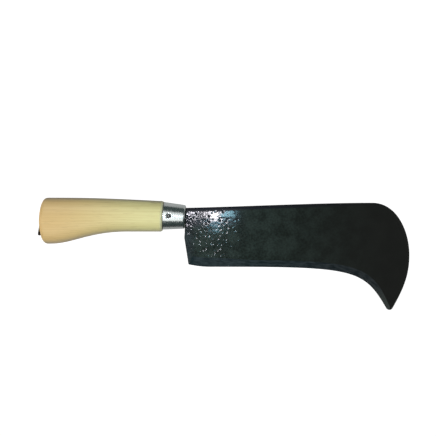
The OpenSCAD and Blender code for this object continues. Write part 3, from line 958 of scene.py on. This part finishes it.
def plated(name, bright, dull, roughness, along_scale, across_scale):
    """Polished metal, with its lines and clouds from the shared group."""
    made, tree, shader = material(name)
    place = node(tree, "ShaderNodeTexCoord").outputs["Object"]
    laid = node(tree, "ShaderNodeMapping", {"Vector": place, "Rotation": (0, 0, axis_tilt)}).outputs[0]
    lines = node(tree, "ShaderNodeGroup", {}, node_tree=polish)
    tree.links.new(laid, lines.inputs["Vector"])
    lines.inputs["Along"].default_value = along_scale
    lines.inputs["Across"].default_value = across_scale
    tree.links.new(blended(tree, lines.outputs["Cloud"], bright, dull), shader.inputs["Base Color"])
    tree.links.new(
        math_node(tree, "ADD", math_node(tree, "MULTIPLY", lines.outputs["Cloud"], 0.12), roughness),
        shader.inputs["Roughness"],
    )
    bump = node(tree, "ShaderNodeBump", {
        "Height": lines.outputs["Lines"], "Strength": 0.06, "Distance": 0.0001,
    })
    tree.links.new(bump.outputs[0], shader.inputs["Normal"])
    shader.inputs["Metallic"].default_value = 1.0
    return made


nickel = plated("nickel_plate", (0.81, 0.845, 0.83, 1), (0.69, 0.745, 0.725, 1), 0.2, 1400.0, 60.0)
tree, shader = nickel.node_tree, nickel.node_tree.nodes["Principled BSDF"]
# Painted shade: a dark ring in the corner at the wood, where the ferrule meets it, and the finish is made rougher there
from_mouth = node(tree, "ShaderNodeVectorMath", {
    0: node(tree, "ShaderNodeVectorMath", {
        0: node(tree, "ShaderNodeTexCoord").outputs["Object"], 1: tuple(mouth),
    }, operation="SUBTRACT").outputs[0],
    1: tuple(axis_way),
}, operation="DOT_PRODUCT").outputs["Value"]
painted_joint_shade = ramp(tree, from_mouth, (ferrule_len - 1.2) * MM, (ferrule_len - 0.6) * MM)
unshaded = shader.inputs["Base Color"].links[0].from_socket
tree.links.new(blended(tree, painted_joint_shade, unshaded, (0.2, 0.185, 0.12, 1)), shader.inputs["Base Color"])
polished = shader.inputs["Roughness"].links[0].from_socket
dulled = math_node(tree, "ADD", polished, math_node(tree, "MULTIPLY", painted_joint_shade, 0.3))
tree.links.new(dulled, shader.inputs["Roughness"])

# The mouth is rolled in, down to the sheet's inner edge
roll_angles = np.linspace(math.atan(ferrule_slope), math.radians(roll_turn), 9)
roll_in = roll_r * (np.sin(roll_angles[-1]) - np.sin(roll_angles))
roll_out = wall_r(roll_in[0]) + roll_r * (np.cos(roll_angles) - np.cos(roll_angles[0]))
lip = list(zip(roll_out, roll_in))
lip.append((wall_r(lip_r) - ferrule_wall, 0.15))
ferrule_profile = [
    (wall_r(ferrule_len) - ferrule_wall, ferrule_len),
    (wall_r(ferrule_len), ferrule_len),
    *lip,
    (wall_r(ferrule_len) - ferrule_wall, ferrule_len),
]
ferrule = turned_piece("nickel_ferrule", ferrule_profile, 150, 241, nickel)

# The punch has sunk a round dimple, which slopes in to the nail's head
co = np.zeros(len(ferrule.data.vertices) * 3)
ferrule.data.vertices.foreach_get("co", co)
co = co.reshape(-1, 3) / MM
nail_way = ferrule_len - nail_inset
outside = np.hypot(co[:, 0], co[:, 1]) > wall_r(co[:, 2]) - ferrule_wall * 0.5
punched = np.hypot(co[:, 1], co[:, 2] - nail_way) / dimple_r
sunk = dimple_depth * (1 - ease(np.clip(punched * 1.25 - 0.25, 0, 1)))
co[:, 0] -= np.where(outside & (co[:, 0] > 0), sunk, 0)
ferrule.data.vertices.foreach_set("co", (co * MM).reshape(-1))
to_world(ferrule, (0, 0, 0), up_way, axis_way)
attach(ferrule, "root")
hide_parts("ferrule")


# Ferrule nail
# A short wire nail through the sleeve into the tenon. Its round head stands in the dimple
# that the punch has sunk for it.

nail_head_d = 4.4
nail_head_h = 1.4
nail_d = 1.9
nail_len = 9.0
nail_point = 2.4
crown = nail_head_h * 0.8

head_r = nail_head_d / 2
nail_profile = [(0.0, -nail_len), (nail_d / 2, -nail_len + nail_point), (nail_d / 2, 0), (head_r - 0.1, 0)]
nail_profile += [(head_r, 0.12), (head_r, nail_head_h - crown)]
crown_r = (head_r**2 + crown**2) / 2 / crown
nail_profile += [
    (crown_r * math.sin(a), nail_head_h - crown_r + crown_r * math.cos(a))
    for a in np.linspace(math.asin(head_r / crown_r), 0, 14)[1:]
]
lean = math.atan(ferrule_slope)
nail_axis = up_way * math.cos(lean) - axis_way * math.sin(lean)
nail_seat = axis_way * nail_way + up_way * wall_r(nail_way) - nail_axis * 0.7

wire = plated("nail_steel", (0.15, 0.155, 0.15, 1), (0.1, 0.102, 0.1, 1), 0.4, 700.0, 700.0)
tree, shader = wire.node_tree, wire.node_tree.nodes["Principled BSDF"]
# Painted highlight: the middle of the head is made bright, where the hammer has also polished it
from_top = node(tree, "ShaderNodeVectorMath", {
    0: node(tree, "ShaderNodeTexCoord").outputs["Object"],
    1: tuple(mouth + (nail_seat + nail_axis * nail_head_h) * MM),
}, operation="DISTANCE").outputs["Value"]
dark = shader.inputs["Base Color"].links[0].from_socket
tree.links.new(blended(tree, ramp(tree, from_top, 0.0008, 0.0004), dark, (0.72, 0.74, 0.72, 1)), shader.inputs["Base Color"])

nail = turned_piece("ferrule_nail_head", nail_profile, 110, 65, wire)
nail_side = np.cross((0.0, 1.0, 0.0), nail_axis)
to_world(nail, nail_seat, nail_side / np.linalg.norm(nail_side), nail_axis)
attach(nail, "root")
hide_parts("ferrule_nail")


# Table, lamps and camera
# The tool lies on a pale table. Two fills beyond its ends light it evenly, panels and cards
# on both sides shine in its metal and varnish, and a flash and a window in its heel.

frame_width = 0.4691
camera_height = 0.7
eye = mouth + np.array([35.18, -1.18, 0]) * MM

floor_mesh = bpy.data.meshes.new("table")
floor_mesh.from_pydata([(-9, -9, 0), (9, -9, 0), (9, 9, 0), (-9, 9, 0)], [], [(0, 1, 2, 3)])
floor = bpy.data.objects.new("table", floor_mesh)
bpy.context.scene.collection.objects.link(floor)
table, tree, shader = material("pale_table")
place = node(tree, "ShaderNodeTexCoord").outputs["Object"]
cloud = node(tree, "ShaderNodeTexNoise", {"Vector": place, "Scale": 6.0}).outputs[0]
cloud = blended(tree, cloud, (0.15, 0.15, 0.15, 1), (0.18, 0.18, 0.18, 1))
# Its light goes out a hand's breadth in front of the tool
along_y = node(tree, "ShaderNodeSeparateXYZ", {0: place}).outputs["Y"]
lit = ramp(tree, along_y, float(mouth[1]) - 0.085, float(mouth[1]) - 0.055)
tree.links.new(blended(tree, lit, (0.05, 0.055, 0.055, 1), cloud), shader.inputs["Base Color"])
# It glows, for the camera and a little in mirrors, so that it reads white and lights softly
rays = node(tree, "ShaderNodeLightPath")
tree.links.new(math_node(
    tree, "ADD",
    math_node(tree, "MULTIPLY", rays.outputs["Is Camera Ray"], 1.0),
    math_node(tree, "MULTIPLY", rays.outputs["Is Glossy Ray"], math_node(tree, "MULTIPLY", lit, 0.26)),
), shader.inputs["Emission Strength"])
shader.inputs["Emission Color"].default_value = (1.0, 1.0, 1.0, 1)
shader.inputs["Roughness"].default_value = 0.9
shader.inputs["Specular IOR Level"].default_value = 0.0
floor_mesh.materials.append(table)

camera_data = bpy.data.cameras.new("camera")
camera_data.sensor_fit = "HORIZONTAL"
camera_data.angle = 2 * math.atan(frame_width / 2 / camera_height)
camera_data.clip_start = 0.01
camera = bpy.data.objects.new("camera", camera_data)
camera.location = eye + np.array([0, 0, camera_height])
bpy.context.scene.collection.objects.link(camera)
bpy.context.scene.camera = camera


def panel(name, place, width, depth, radiance, colour=(1.0, 1.0, 1.0), shape="RECTANGLE", use="both"):
    """A lamp at a place in metres from the eye's foot, facing down, or to the foot from afar.

    A soft one only lights, a mirrored one only shines in glossy faces.
    """
    data = bpy.data.lights.new(name, "AREA")
    data.shape = shape
    data.size = width
    data.size_y = depth
    data.color = colour
    area = width * depth if shape == "RECTANGLE" else math.pi * width * depth / 4
    data.energy = radiance * 4 * area
    made = bpy.data.objects.new(name, data)
    made.location = eye + np.asarray(place)
    far = abs(place[0]) > 1
    made.rotation_euler = (0, math.atan2(place[0], place[2]) if far else 0, 0)
    made.visible_diffuse = use != "mirrored"
    made.visible_glossy = use != "soft"
    bpy.context.scene.collection.objects.link(made)


panel("upper_panel", (-0.075, 0.29, 0.75), 0.27, 0.52, 1.42, use="mirrored")
panel("lower_panel", (-0.075, -0.395, 0.75), 0.27, 0.53, 1.5)
panel("butt_fill", (-1.6, -0.13, 1.2), 1.4, 0.4, 12.4, use="soft")
panel("nose_fill", (1.6, -0.13, 1.2), 1.4, 0.4, 12.4, use="soft")
panel("butt_sheen_high", (-0.45, 0.8, 0.75), 0.32, 0.6, 3.2, use="mirrored")
panel("butt_sheen_low", (-0.45, -0.7, 0.75), 0.32, 0.5, 2.8, use="mirrored")
panel("butt_card", (-1.6, -0.1, 1.2), 0.8, 0.8, 2.8, use="mirrored")
panel("nose_card", (1.6, -0.1, 1.2), 1.4, 0.8, 1.6, use="mirrored")
panel("flash", (-0.005, -0.003, 0.7), 0.03, 0.026, 80.0, (0.985, 0.945, 1.0), "ELLIPSE")
panel("small_flash", (-0.052, 0.005, 0.7), 0.027, 0.02, 95.0, (0.93, 0.9, 1.0), "ELLIPSE")
panel("window", (0.029, 0.0015, 0.7), 0.028, 0.022, 32.0, (0.4, 0.82, 1.0))
panel("low_window", (-0.001, -0.027, 0.7), 0.022, 0.015, 16.0, (0.3, 0.77, 1.0))

world = bpy.data.worlds.new("room")
world.use_nodes = True
tree = world.node_tree
background = tree.nodes["Background"]
seen = node(tree, "ShaderNodeLightPath").outputs["Is Camera Ray"]
tree.links.new(blended(tree, seen, (0.024, 0.041, 0.04, 1), (0.85, 0.85, 0.85, 1)), background.inputs["Color"])
bpy.context.scene.world = world
bpy.context.scene.view_settings.view_transform = "Standard"
